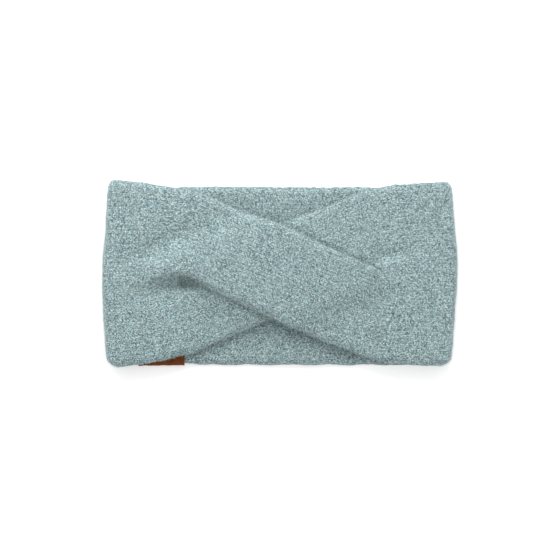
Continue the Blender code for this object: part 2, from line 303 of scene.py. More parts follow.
@dataclass(frozen=True)
class Lay:
    """How the headwrap lies: the solids' sizes in millimetres, and the surfaces that follow from them."""

    length: float
    width: float
    crossing: float
    fabric: float = 3.6
    hollow: float = 4.8
    strap_gap: float = 0.4
    join_gap: float = 0.3
    root_run: float = 8.0
    ease_share: float = 0.7
    step_width: float = 4.0
    step_spread: float = 26.0
    step_start: float = 1.78
    drop_run: float = 26.0
    under_drop: float = 1.2
    pinch: float = 0.7
    pinch_run: float = 2.6
    sag: float = 1.2
    sag_run: float = 16.0
    side_bulge: float = 4.0
    upper_corner: float = 1.4
    lower_corner: float = 5.5
    corner_run: float = 13.0
    corner_start: float = 0.6
    tab_margin: float = 3.0
    tab_fade: float = 9.0
    tab_pinch: float = 0.8
    tab_dent: float = 1.2
    tab_gap: float = 0.3
    tab_leather: float = 1.1
    edge_wander: float = 0.55
    wander_run: float = 9.0

    @classmethod
    def from_frame(cls) -> "Lay":
        """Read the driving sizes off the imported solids.

        Returns:
            The lay of those sizes.
        """
        low, high = millimetres(CAD_BOX)
        strap_low, strap_high = millimetres(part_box(Strap.OVER.value))
        crossing = strap_high[0] - strap_low[0] + 2 * cls.join_gap
        return cls(length=high[0] - low[0], width=high[1] - low[1], crossing=crossing)

    @property
    def half(self) -> float:
        """Half the width, which the tables' shares follow."""
        return self.width / 2

    @property
    def split(self) -> float:
        """X of the right crotch."""
        return self.crossing / 2

    @property
    def fold_radius(self) -> float:
        """Radius of the side folds, at the middle of the wall."""
        return (self.hollow + self.fabric) / 2

    @property
    def flat_end(self) -> float:
        """X where the right side fold begins."""
        return self.length / 2 - self.fold_radius - self.fabric / 2

    @property
    def front_height(self) -> float:
        """Height of the middle of the front's wall, where it lies level."""
        return self.fabric * 1.5 + self.hollow

    @property
    def rise(self) -> float:
        """How far the over strap lies above the under strap."""
        return self.fabric + self.strap_gap

    def front_x(self, place: Numbers) -> Numbers:
        """X of a place on the front.

        Args:
            place: the place, as FrontRow counts it.

        Returns:
            X there, in millimetres.
        """
        beyond = np.maximum(np.abs(place) - 1, 0)
        inner = np.minimum(np.abs(place), 1) * self.split
        return np.sign(place) * (inner + beyond * (self.flat_end - self.split))

    def front_line(self, name: str, x: Numbers) -> Numbers:
        """Y of one of the front's edge lines: the table's curve, uneven and set a little outwards.

        Args:
            name: the line, as in FrontRow.
            x: where along the front.

        Returns:
            Y at each x.
        """
        line = curve(self.front_x(column(FRONT, "place")), column(FRONT, name) * self.half, x)
        left, right = TURNED_LINES[name]
        turned = np.where(x < 0, OUTWARD[left], OUTWARD[right])
        share = smooth((np.abs(x) - self.split) / (self.flat_end - self.split))
        outward = OUTWARD[name] + share * (turned - OUTWARD[name])
        return line + self.uneven(FrontRow._fields.index(name), x) + outward

    def back_line(self, name: str, x: Numbers) -> Numbers:
        """Y of one of the back's lines, worked out as the front's are.

        Args:
            name: the line, as in BackRow.
            x: where along the back.

        Returns:
            Y at each x.
        """
        line = curve(column(BACK, "place") * self.flat_end, column(BACK, name) * self.half, x)
        share = 1 - smooth((self.flat_end - np.abs(x)) / self.corner_run)
        outward = OUTWARD[name] + share * (OUTWARD[f"fold_{name}"] - OUTWARD[name])
        return line + self.uneven(BACK_LINES_SEED + BackRow._fields.index(name), x) + outward

    def uneven(self, seed: int, x: Numbers) -> Numbers:
        """Small unevenness of an edge at x, which dies out at the side folds."""
        return self.edge_wander * smooth((self.flat_end - np.abs(x)) / self.wander_run) * wander(x, seed)

    def strap_edges(self, x: Numbers) -> tuple[Numbers, Numbers, Numbers, Numbers]:
        """The four edges of the straps.

        At a root the under strap's inner edge starts beside the over strap's and then slips below it.

        Args:
            x: where along the front.

        Returns:
            The over strap's lower and upper edge, then the under strap's.
        """
        over_low, over_up, under_low, under_up = (
            self.front_line(name, x) for name in ("over_low", "over_up", "under_low", "under_up")
        )
        covered = smooth((self.split - np.abs(x)) / self.root_run)
        over_low = np.where(x < 0, over_low + self.join_gap / 2, over_low)
        over_up = np.where(x < 0, over_up, over_up - self.join_gap / 2)
        beside_low = (1 - covered) * (over_low - self.join_gap) + covered * under_up
        beside_up = (1 - covered) * (over_up + self.join_gap) + covered * under_low
        under_low, under_up = np.where(x < 0, under_low, beside_up), np.where(x < 0, beside_low, under_up)
        return over_low, over_up, under_low, under_up

    def strap_slope(self, strap: Strap, x: Numbers, shares: Numbers, reach: float) -> Numbers:
        """Sine of the wales' angle from X on the half of the front that a strap belongs to.

        Args:
            strap: the strap.
            x: where along the front, as a column.
            shares: places across that half, from 0 at its lower edge to 1 at its upper one.
            reach: distance to either side over which the angle is taken.

        Returns:
            The sine at each point.
        """
        behind = np.maximum(x - reach, -self.flat_end)
        ahead = np.minimum(x + reach, self.flat_end)
        own = slice(0, 2) if strap is Strap.OVER else slice(2, 4)
        low, up = np.array(self.strap_edges(ahead)[own]) - np.array(self.strap_edges(behind)[own])
        slope = (low + shares * (up - low)) / (ahead - behind)
        return slope / np.sqrt(1 + slope**2)

    def folds(self, x: Numbers, y: Numbers, listed: tuple[Fold, ...] = FOLDS + CREASES) -> Numbers:
        """Height of the soft folds: each is a ridge or valley that dies out along and across.

        Args:
            x: where along the headwrap.
            y: where across it.
            listed: the folds.

        Returns:
            The sum of their heights at each point.
        """
        height = np.zeros(np.broadcast(x, y).shape)
        for fold in listed:
            turn = math.radians(fold.turn)
            right = x - self.front_x(fold.place)
            up = y - fold.side * self.half
            along = (right * math.cos(turn) + up * math.sin(turn)) / (fold.length * self.half)
            across = (up * math.cos(turn) - right * math.sin(turn)) / (fold.width * self.half)
            height += fold.height * self.fabric * np.exp(-(along**2) - across**2)
        return height

    def sunk(self, beyond: Numbers) -> Numbers:
        """Share of its rise that the over strap keeps at a distance beyond the under strap's edge."""
        return 1 - smooth(beyond / self.drop_run)

    def step(self, inward: Numbers, x: Numbers) -> Numbers:
        """The step in height across a crotch line: a hyperbolic tangent, wider towards the side fold.

        Args:
            inward: distance from the line into the over strap's side.
            x: where along the front.

        Returns:
            The step's value, from 0 on the under side to 1 on the over side.
        """
        spread = smooth((np.abs(x) - self.split) / (self.flat_end - self.split))
        width = self.step_width + (self.step_spread - self.step_width) * spread
        return 0.5 + 0.5 * np.tanh(inward / width)

    def parted(self, x: Numbers) -> Numbers:
        """How far the straps have parted in height: 0 at a crotch, 1 past the root."""
        share = (self.split - np.abs(x)) / (self.ease_share * self.root_run)
        return np.sin(np.clip(share, 0, 1) * math.pi / 2)

    def side_height(self, x: Numbers, y: Numbers) -> Numbers:
        """Height of the wall's middle on the front, between a side fold and its crotch.

        The over strap's side of the crotch line is higher, less so towards the side fold, and the soft
        folds are pressed into both.

        Args:
            x: where along the front.
            y: where across it.

        Returns:
            The height at each point.
        """
        inward = np.where(x < 0, y - self.front_line("over_low", x), self.front_line("over_up", x) - y)
        start = self.front_x(self.step_start)
        grown = smooth((start - np.abs(x)) / (start - self.split))
        faded = smooth((self.flat_end - np.abs(x)) / (self.flat_end - start))
        step = self.step(inward, x)
        rise = self.rise * grown * step * self.sunk(np.maximum(inward, 0))
        pressed = self.folds(x, y) + (1 - step) * self.folds(x, y, UNDER_CREASES)
        return self.front_height + rise + faded * pressed

    def strap_height(self, strap: Strap, x: Numbers, y: Numbers) -> Numbers:
        """Height of a strap's middle.

        The over strap rides on the under strap and sinks beside it. The under strap sinks beside the
        over strap, sags below it, is creased at its left root, and is pressed down along the over
        strap's upper edge.

        Args:
            strap: the strap.
            x: where along the front.
            y: where across it.

        Returns:
            The height at each point.
        """
        over_low, over_up, under_low, under_up = self.strap_edges(x)
        inward = np.where(x < 0, y - over_low, over_up - y)
        rooted = (1 - self.parted(x)) * self.step(inward, x)
        if strap is Strap.OVER:
            beyond = np.maximum(np.maximum(y - under_up, under_low - y), 0)
            rooted = (rooted + self.parted(x)) * self.sunk(beyond)
            return self.front_height + self.rise * rooted + self.folds(x, y)
        beyond = np.maximum(np.maximum(y - over_up, over_low - y), 0)
        freed = smooth((self.split - np.abs(x)) / self.drop_run)
        dropped = freed * self.under_drop * smooth(beyond / self.drop_run)
        sagged = freed * self.sag * smooth((over_low - y) / self.sag_run)
        beside = np.maximum(y - over_up, 0) / self.pinch_run
        pinched = self.parted(x) * self.pinch * np.exp(-(beside**2))
        folded = self.folds(x, y) + (1 - rooted) * self.folds(x, y, UNDER_CREASES)
        return self.front_height + self.rise * rooted + folded - dropped - sagged - pinched

    def near_tab(self, x: Numbers, y: Numbers, low: Numbers) -> Numbers:
        """How much the tab shapes the fabric: 1 between its leaves, fading to 0 around it.

        Args:
            x: where along the back.
            y: where across it.
            low: the back's lower edge there.

        Returns:
            The share at each point.
        """
        tab_low, tab_high = millimetres(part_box("leather_tab"))
        reach = tab_high[1] - tab_low[1] - self.tab_leather - self.tab_gap + self.tab_dent
        aside = np.maximum(tab_low[0] - x, x - tab_high[0]) - self.tab_margin
        upward = y - low - reach - self.tab_margin
        return (1 - smooth(aside / self.tab_fade)) * (1 - smooth(upward / self.tab_fade))

    def side_inset(self, side: Numbers, y: Numbers, low: Numbers, up: Numbers, away: Numbers,
                   reach: float, turned: Numbers = 0) -> Numbers:
        """How far the wall is drawn in at y: as the table says, and rounded off at its corners.

        Args:
            side: -1 where the left side fold is meant and 1 where the right one is.
            y: place across the wall.
            low: the wall's lower edge.
            up: its upper edge.
            away: distance from where the side fold begins.
            reach: the distance at which what the table says has died out.
            turned: 0 on the flat, 1 at the fold's outermost line, where the corners are roundest.

        Returns:
            The distance by which each point lies nearer to the middle.
        """
        places = column(SIDES, "side")
        left, right = (
            np.maximum(curve(places, column(SIDES, name), y / self.half), 0) for name in ("left", "right")
        )
        drawn = self.side_bulge * np.where(side < 0, left, right)
        drawn = drawn + 0.5 * self.edge_wander * wander(y, SIDES_SEED)
        drawn = drawn - np.where(side < 0, OUTWARD["left"], OUTWARD["right"])
        inset = (1 - away / reach) * drawn
        corners = (
            (self.upper_corner, y - up + self.upper_corner),
            (self.lower_corner, low + self.lower_corner - y),
        )
        share = self.corner_start + (1 - self.corner_start) * turned
        for radius, into in corners:
            into = np.clip(into, 0, radius)
            rounding = radius - np.sqrt(radius**2 - into**2)
            inset = inset + (1 - smooth(away / self.corner_run)) * share * rounding
        return inset


@dataclass(frozen=True)
class Knit:
    """Stockinette: the pitch of its courses in millimetres and the relief of its stitches."""

    course: float = 2.13
    lean: float = 0.55
    depth: float = 0.17
    rib_share: float = 0.45
    row_share: float = 0.72
    edge_wales: int = 2
    square: float = 0.6
    slope_reach: float = 20.0
    crossing_courses: int = 67

    def relief(self, wale: Numbers, course: Numbers) -> Numbers:
        """Height of the stitches, from 0 in a groove to 1 on a crown.

        Each wale is a rib with a shallow groove between its two legs, crossed by a row of chevrons.

        Args:
            wale: place across the knit, one to a wale, whole numbers in the grooves.
            course: place along the knit, one to a row.

        Returns:
            The height at each point.
        """
        rib = 0.5 - 0.5 * np.cos(TURN * wale)
        legs = 0.5 - 0.5 * np.cos(2 * TURN * wale)
        leg = np.abs(2 * (wale % 1) - 1)
        chevron = 0.5 + 0.5 * np.cos(TURN * (course + self.lean * leg))
        shape = self.rib_share * rib + (1 - self.rib_share) * legs
        return shape * (1 - self.row_share + self.row_share * chevron)

    def courses(self, x: Numbers, y: Numbers, sine: Numbers, reference: int) -> Numbers:
        """Rows of stitches over a stretch of wall.

        The count grows with the length of the reference column. Rows quite square to the wales would
        change, along a row of points at one x, by the sine of the wales' angle for each millimetre of
        y. The knit gives way a little, so they change by a share of that.

        Args:
            x: X of each row of points, as a column.
            y: Y of each point.
            sine: sine of the wales' angle from X at each point.
            reference: the column whose length is measured.

        Returns:
            The course at each point, 0 at the first point of the reference column.
        """
        steps = 0.5 * (sine[:, 1:] + sine[:, :-1]) * np.diff(y, axis=1)
        across = np.concatenate((np.zeros((len(y), 1)), np.cumsum(steps, axis=1)), axis=1)
        across -= across[:, reference:reference + 1]
        pace = np.hypot(np.diff(x[:, 0]), np.diff(y[:, reference]))
        along = np.concatenate(([0.0], np.cumsum(pace))) * np.sign(x[-1, 0] - x[0, 0])
        return (along[:, None] + self.square * across) / self.course


class Wall(NamedTuple):
    """Points round the cross-sections of a wall, a row for each section.

    y is across the wall, lift how far off its middle a point lies, and crown the direction, across and
    off the middle, in which its stitches stand. wale is one longer, for the seam of the round.
    """

    y: Numbers
    lift: Numbers
    crown_y: Numbers
    crown_lift: Numbers
    wale: Numbers


@dataclass(frozen=True)
class Fineness:
    """How finely a wall is meshed: points for each wale on its outer and inner side, and for a course."""

    outer: int
    inner: int
    course: int


@dataclass
class Skin:
    """A knitted wall made as one closed mesh."""

    lay: Lay
    knit: Knit
    fineness: Fineness
    wales: int
    roll: float = 1.05
    roll_run: float = 5.2

    def full(self, y: Numbers) -> Numbers:
        """The fabric's thickness where nothing presses on it."""
        return np.full(np.shape(y), self.lay.fabric)

    def shares(self, fineness: int) -> Numbers:
        """Places across the wall's flat, from -1 at its lower edge to 1 at its upper one."""
        return np.linspace(-1, 1, self.wales * fineness + 1)

    def across(self, low: Numbers, middle: Numbers, up: Numbers, half: Numbers, fineness: int) -> Numbers:
        """Y of the points across the flat, between the centres of its round edges."""
        shares = self.shares(fineness)[None, :]
        return middle + np.where(shares < 0, shares * (middle - low - half), shares * (up - half - middle))

    def wall(self, low: Numbers, middle: Numbers, up: Numbers, thickness: Thickness) -> Wall:
        """Cross-sections with round edges: outer flat, upper edge, inner flat, lower edge.

        Args:
            low: Y of the lower edge, as a column, and so are middle and up.
            middle: Y of the middle line.
            up: Y of the upper edge.
            thickness: the wall's thickness as a function of Y.

        Returns:
            The points round each section.
        """
        low_half = thickness(low) / 2
        up_half = thickness(up) / 2
        outer = self.across(low, middle, up, low_half, self.fineness.outer)
        inner = self.across(low, middle, up, low_half, self.fineness.inner)[:, ::-1]
        bend = np.linspace(0.5, -0.5, self.knit.edge_wales * self.fineness.outer + 1)[None, 1:-1] * math.pi
        y = np.concatenate((
            outer,
            up - up_half + up_half * np.cos(bend),
            inner,
            low + low_half - low_half * np.cos(bend),
        ), axis=1)
        lift = np.concatenate((
            thickness(outer) / 2,
            up_half * np.sin(bend),
            -thickness(inner) / 2,
            -low_half * np.sin(bend),
        ), axis=1)
        bend = np.broadcast_to(bend, (len(low), bend.shape[1]))
        crown_y = np.concatenate((outer * 0, np.cos(bend), inner * 0, -np.cos(bend)), axis=1)
        crown_lift = np.concatenate((outer * 0 + 1, np.sin(bend), inner * 0 - 1, -np.sin(bend)), axis=1)
        return Wall(y, lift, crown_y, crown_lift, self.wale_numbers())

    def wale_numbers(self) -> Numbers:
        """Count the wales round a section.

        Returns:
            The wale of each point, and of the first point again at the end.
        """
        edge = self.knit.edge_wales
        outer = np.linspace(0, self.wales, self.wales * self.fineness.outer + 1)
        bend = np.linspace(0, edge, edge * self.fineness.outer + 1)[1:-1]
        inner = np.linspace(0, self.wales, self.wales * self.fineness.inner + 1)
        start = self.wales + edge
        return np.concatenate((
            outer,
            self.wales + bend,
            start + inner,
            start + self.wales + bend,
            [2 * start],
        ))

    def round_courses(self, flat: Numbers) -> Numbers:
        """Carry courses on round each section.

        Args:
            flat: the courses across its outer flat.

        Returns:
            The course of each point round it.
        """
        bend = self.knit.edge_wales * self.fineness.outer - 1
        places = np.linspace(0, flat.shape[1] - 1, self.wales * self.fineness.inner + 1)
        before = np.minimum(places.astype(int), flat.shape[1] - 2)
        share = places - before
        back = flat[:, ::-1]
        inner = back[:, before] * (1 - share) + back[:, before + 1] * share
        upper = np.repeat(flat[:, -1:], bend, axis=1)
        lower = np.repeat(flat[:, :1], bend, axis=1)
        return np.concatenate((flat, upper, inner, lower), axis=1)

    def rolled(self, wall: Wall, low: Numbers, up: Numbers, low_roll: Numbers, up_roll: Numbers,
               face: int = 1) -> Wall:
        """The wall with its visible face rolled off towards its edges.

        Args:
            wall: the wall.
            low: its lower edge.
            up: its upper edge.
            low_roll: how much it rolls off at its lower edge, from 0 to 1.
            up_roll: how much at its upper edge.
            face: 1 for the outer face and -1 for the inner one.

        Returns:
            The rolled wall.
        """
        near_low = np.clip(1 - (wall.y - low) / self.roll_run, 0, 1) ** 2 * low_roll
        near_up = np.clip(1 - (up - wall.y) / self.roll_run, 0, 1) ** 2 * up_roll
        share = np.where(wall.lift * face > 0, self.roll * (near_low + near_up), 0)
        return wall._replace(lift=wall.lift * (1 - share))

    def sink(self, wall: Wall, course: Numbers) -> Numbers:
        """How far each point lies below the wall's own surface, because of the stitches' relief."""
        return self.knit.depth * (1 - self.knit.relief(wall.wale[None, :-1], course))


def filled(name: str, points: Numbers, loops: Numbers, starts: Numbers) -> bpy.types.Mesh:
    """A mesh filled from whole arrays.

    Args:
        name: the mesh's name.
        points: its points in millimetres.
        loops: the points' numbers, face by face.
        starts: where each face begins among them.

    Returns:
        The mesh.
    """
    mesh = bpy.data.meshes.new(name)
    mesh.vertices.add(points.size // 3)
    mesh.vertices.foreach_set("co", (points * MM).astype(np.float32).reshape(-1))
    mesh.loops.add(len(loops))
    mesh.loops.foreach_set("vertex_index", loops.astype(np.int32))
    mesh.polygons.add(len(starts))
    mesh.polygons.foreach_set("loop_start", starts.astype(np.int32))
    mesh.update(calc_edges=True)
    return mesh


def placed(name: str, data: bpy.types.ID) -> bpy.types.Object:
    """A new object in the scene.

    Args:
        name: its name.
        data: its mesh, camera or light.

    Returns:
        The object.
    """
    made = bpy.data.objects.new(name, data)
    bpy.context.collection.objects.link(made)
    return made


def solid(name: str, points: Numbers, wale: Numbers, course: Numbers) -> bpy.types.Object:
    """A closed mesh through rings of points, with a flat face at each end and the knit's own UV map.

    Args:
        name: the object's name.
        points: rings of points in millimetres, ring by ring.
        wale: the wale of each point of a ring, and of its first point again.
        course: the course of each point.

    Returns:
        The object.
    """
    rings, count = points.shape[:2]
    here = np.arange(rings * count).reshape(rings, count)
    there = np.roll(here, -1, axis=1)
    quads = np.stack((here[:-1], there[:-1], there[1:], here[1:]), axis=-1).reshape(-1, 4)
    column = np.arange(count)
    wales = np.stack((wale[column], wale[column + 1], wale[column + 1], wale[column]), axis=-1)
    wales = np.tile(wales, (rings - 1, 1))
    corners = course.reshape(-1)[quads]
    flat = points.reshape(-1, 3)
    first, second, third = (flat[quads[:, corner]] for corner in (0, 1, 2))
    inward = np.einsum("ij,ij->i", first, np.cross(second, third)).sum() < 0
    ends = (here[0][::-1], here[-1])
    if inward:
        quads = quads[:, ::-1]
        wales = wales[:, ::-1]
        corners = corners[:, ::-1]
        ends = (here[0], here[-1][::-1])
    loops = np.concatenate((quads.reshape(-1), *ends))
    starts = np.concatenate((np.arange(len(quads)) * 4, [len(quads) * 4, len(quads) * 4 + count]))
    mesh = filled(name, flat, loops, starts)
    places = np.zeros((len(loops), 2))
    places[:len(quads) * 4, 0] = wales.reshape(-1)
    places[:len(quads) * 4, 1] = corners.reshape(-1)
    layer = mesh.uv_layers.new(name="knit")
    layer.data.foreach_set("uv", places.astype(np.float32).reshape(-1))
    mesh.shade_smooth()
    sharpen_ends(mesh, count)
    return placed(name, mesh)


def sharpen_ends(mesh: bpy.types.Mesh, count: int) -> None:
    """Keep the end faces of a ringed mesh from bending the shading beside them.

    Args:
        mesh: the mesh.
        count: how many points a ring has.
    """
    edges = np.zeros(len(mesh.edges) * 2, np.int32)
    mesh.edges.foreach_get("vertices", edges)
    edges = edges.reshape(-1, 2)
    last = len(mesh.vertices) - count
    sharp = (edges < count).all(axis=1) | (edges >= last).all(axis=1)
    mesh.attributes.new("sharp_edge", "BOOLEAN", "EDGE").data.foreach_set("value", sharp)


@dataclass
class BandSkin(Skin):
    """The band's skin, in three stretches: round the left fold, round the right fold, and the back."""

    def steps(self, run: float) -> int:
        """How many sections a run in millimetres gets."""
        return max(2, round(run / self.knit.course * self.fineness.course))

    def turn_stretch(self, side: Side) -> bpy.types.Object:
        """The band from a crotch out to the side and round the fold.

        Each section is the wall's cross-section. On the front it stands on the height of the fabric
        there, and round the fold it turns about the fold's middle line.

        Args:
            side: which fold.

        Returns:
            The stretch, as one closed wall.
        """
        lay = self.lay
        stations = np.linspace(lay.split, lay.flat_end, self.steps(lay.flat_end - lay.split))
        x = side.value * stations[:, None]
        names = ("under_low", "over_low", "over_up")
        lower, upper = Strap.UNDER, Strap.OVER
        if side is Side.RIGHT:
            names = ("over_low", "over_up", "under_up")
            lower, upper = upper, lower
        low, middle, up = (lay.front_line(name, x) for name in names)
        wall = self.rolled(self.wall(low, middle, up, self.full), low, up, 1, 1)
        flat = self.across(low, middle, up, lay.fabric / 2, self.fineness.outer)
        shares = self.shares(self.fineness.outer)[None, :]
        reach = self.knit.slope_reach
        sine = np.where(shares < 0, lay.strap_slope(lower, x, shares + 1, reach),
                        lay.strap_slope(upper, x, shares, reach))
        course = self.knit.courses(x, flat, sine, flat.shape[1] // 2)
        if side is Side.RIGHT:
            course += self.knit.crossing_courses
        round_course = self.round_courses(course)
        sink = self.sink(wall, round_course)
        away = lay.flat_end - np.abs(x)
        inset = lay.side_inset(side.value, wall.y, low, up, away, lay.flat_end - lay.split)
        height = lay.side_height(x, wall.y) + wall.lift - sink * wall.crown_lift
        front = np.stack((x - side.value * inset, wall.y - sink * wall.crown_y, height), axis=-1)
        fold, fold_course = self.fold_rings(side, round_course[-1:])
        points = np.concatenate((front, fold))
        courses = np.concatenate((round_course, fold_course))
        return solid(f"knit_{side.name.lower()}_turn", points, wall.wale, courses)

    def fold_rings(self, side: Side, start: Numbers) -> tuple[Numbers, Numbers]:
        """Sections round a side fold, from the front down to the back.

        Args:
            side: which fold.
            start: the courses round the last section of the front.

        Returns:
            The points and their courses.
        """
        lay = self.lay
        middle_run = math.pi * (lay.fold_radius + lay.fabric / 4)
        angle = np.linspace(0, math.pi, self.steps(middle_run) + 1)[1:, None]
        x = np.full_like(angle, side.value * lay.flat_end)
        low, middle, up = (lay.back_line(name, x) for name in ("low", "middle", "up"))
        wall = self.rolled(self.wall(low, middle, up, self.full), low, up, 1, 1)
        course = start + side.value * middle_run * angle / math.pi / self.knit.course
        sink = self.sink(wall, course)
        inset = lay.side_inset(side.value, wall.y, low, up, 0, lay.flat_end, np.sin(angle))
        reach = lay.fold_radius + wall.lift - sink * wall.crown_lift
        across = x + side.value * (reach * np.sin(angle) - inset)
        height = lay.fabric / 2 + lay.fold_radius + reach * np.cos(angle)
        return np.stack((across, wall.y - sink * wall.crown_y, height), axis=-1), course

    def back_stretch(self) -> bpy.types.Object:
        """The band's back, flat on the surface, with the fabric raised and pressed thin at the tab.

        Returns:
            The stretch, as one closed wall.
        """
        lay = self.lay
        x = np.linspace(-lay.flat_end, lay.flat_end, self.steps(2 * lay.flat_end))[:, None]
        low, middle, up = (lay.back_line(name, x) for name in ("low", "middle", "up"))

        def drawn_in(y: Numbers) -> Numbers:
            """X of a point, with the side's arc and corners taken off."""
            away = lay.flat_end - np.abs(x)
            return x - np.sign(x) * lay.side_inset(np.sign(x), y, low, up, away, lay.flat_end)

        def thickness(y: Numbers) -> Numbers:
            """The fabric's thickness, less under the tab."""
            return lay.fabric - lay.tab_pinch * lay.near_tab(drawn_in(y), y, low)

        edge = low + lay.tab_dent * lay.near_tab(drawn_in(low), low, low)
        wall = self.rolled(self.wall(edge, middle, up, thickness), edge, up, 1, 1, face=-1)
        flat = self.across(edge, middle, up, lay.fabric / 2, self.fineness.outer)
        course = self.round_courses(-self.knit.courses(x, flat, flat * 0, flat.shape[1] // 2))
        sink = self.sink(wall, course)
        lifted = (lay.tab_leather + lay.tab_gap) * lay.near_tab(drawn_in(wall.y), wall.y, low)
        lifted = lifted + lay.folds(x, wall.y, BACK_FOLDS)
        height = thickness(wall.y) / 2 + lifted - wall.lift + sink * wall.crown_lift
        points = np.stack((drawn_in(wall.y), wall.y - sink * wall.crown_y, height), axis=-1)
        return solid("knit_back", points, wall.wale, course)


@dataclass
class StrapSkin(Skin):
    """The skin of one crossing strap, from crotch to crotch. slant is its angle off X, in degrees."""

    strap: Strap = Strap.OVER
    slant: float = 24.0

    def build(self) -> bpy.types.Object:
        """The strap, as one closed wall.

        Returns:
            The object.
        """
        lay = self.lay
        run = lay.crossing / math.cos(math.radians(self.slant))
        count = round(run / self.knit.course * self.fineness.course)
        x = np.linspace(-lay.split, lay.split, count)[:, None]
        edges = lay.strap_edges(x)
        low, up = edges[:2] if self.strap is Strap.OVER else edges[2:]
        wall = self.wall(low, (low + up) / 2, up, self.full)
        inner = smooth((lay.split - np.abs(x)) / lay.root_run)
        sides = (np.where(x < 0, inner, 1), np.where(x < 0, 1, inner))
        low_roll, up_roll = sides if self.strap is Strap.OVER else sides[::-1]
        wall = self.rolled(wall, low, up, low_roll, up_roll)
        flat = self.across(low, (low + up) / 2, up, lay.fabric / 2, self.fineness.outer)
        sine = lay.strap_slope(self.strap, x, (self.shares(self.fineness.outer)[None, :] + 1) / 2,
                               self.knit.slope_reach)
        reference = 0 if self.strap is Strap.OVER else flat.shape[1] - 1
        course = self.knit.courses(x, flat, sine, reference)
        course = self.round_courses(course * self.knit.crossing_courses / course[-1, -1 - reference])
        sink = self.sink(wall, course)
        height = lay.strap_height(self.strap, x, wall.y) + wall.lift - sink * wall.crown_lift
        places = np.broadcast_to(x, wall.y.shape)
        points = np.stack((places, wall.y - sink * wall.crown_y, height), axis=-1)
        return solid(f"knit_{self.strap.value}", points, wall.wale, course)


class Wire:
    """A socket's value, on which shader maths is written as arithmetic."""

    def __init__(self, tree: "Shader", socket: bpy.types.NodeSocket) -> None:
        """Wrap one output socket of a shader's tree."""
        self.tree = tree
        self.socket = socket

    def __add__(self, other: "Wire | float") -> "Wire":
        """Sum."""
        return self.tree.maths("ADD", self, other)

    def __radd__(self, other: float) -> "Wire":
        """Sum, the number first."""
        return self.tree.maths("ADD", other, self)

    def __sub__(self, other: "Wire | float") -> "Wire":
        """Difference."""
        return self.tree.maths("SUBTRACT", self, other)

    def __rsub__(self, other: float) -> "Wire":
        """Difference, the number first."""
        return self.tree.maths("SUBTRACT", other, self)

    def __mul__(self, other: "Wire | float") -> "Wire":
        """Product."""
        return self.tree.maths("MULTIPLY", self, other)

    def __rmul__(self, other: float) -> "Wire":
        """Product, the number first."""
        return self.tree.maths("MULTIPLY", other, self)


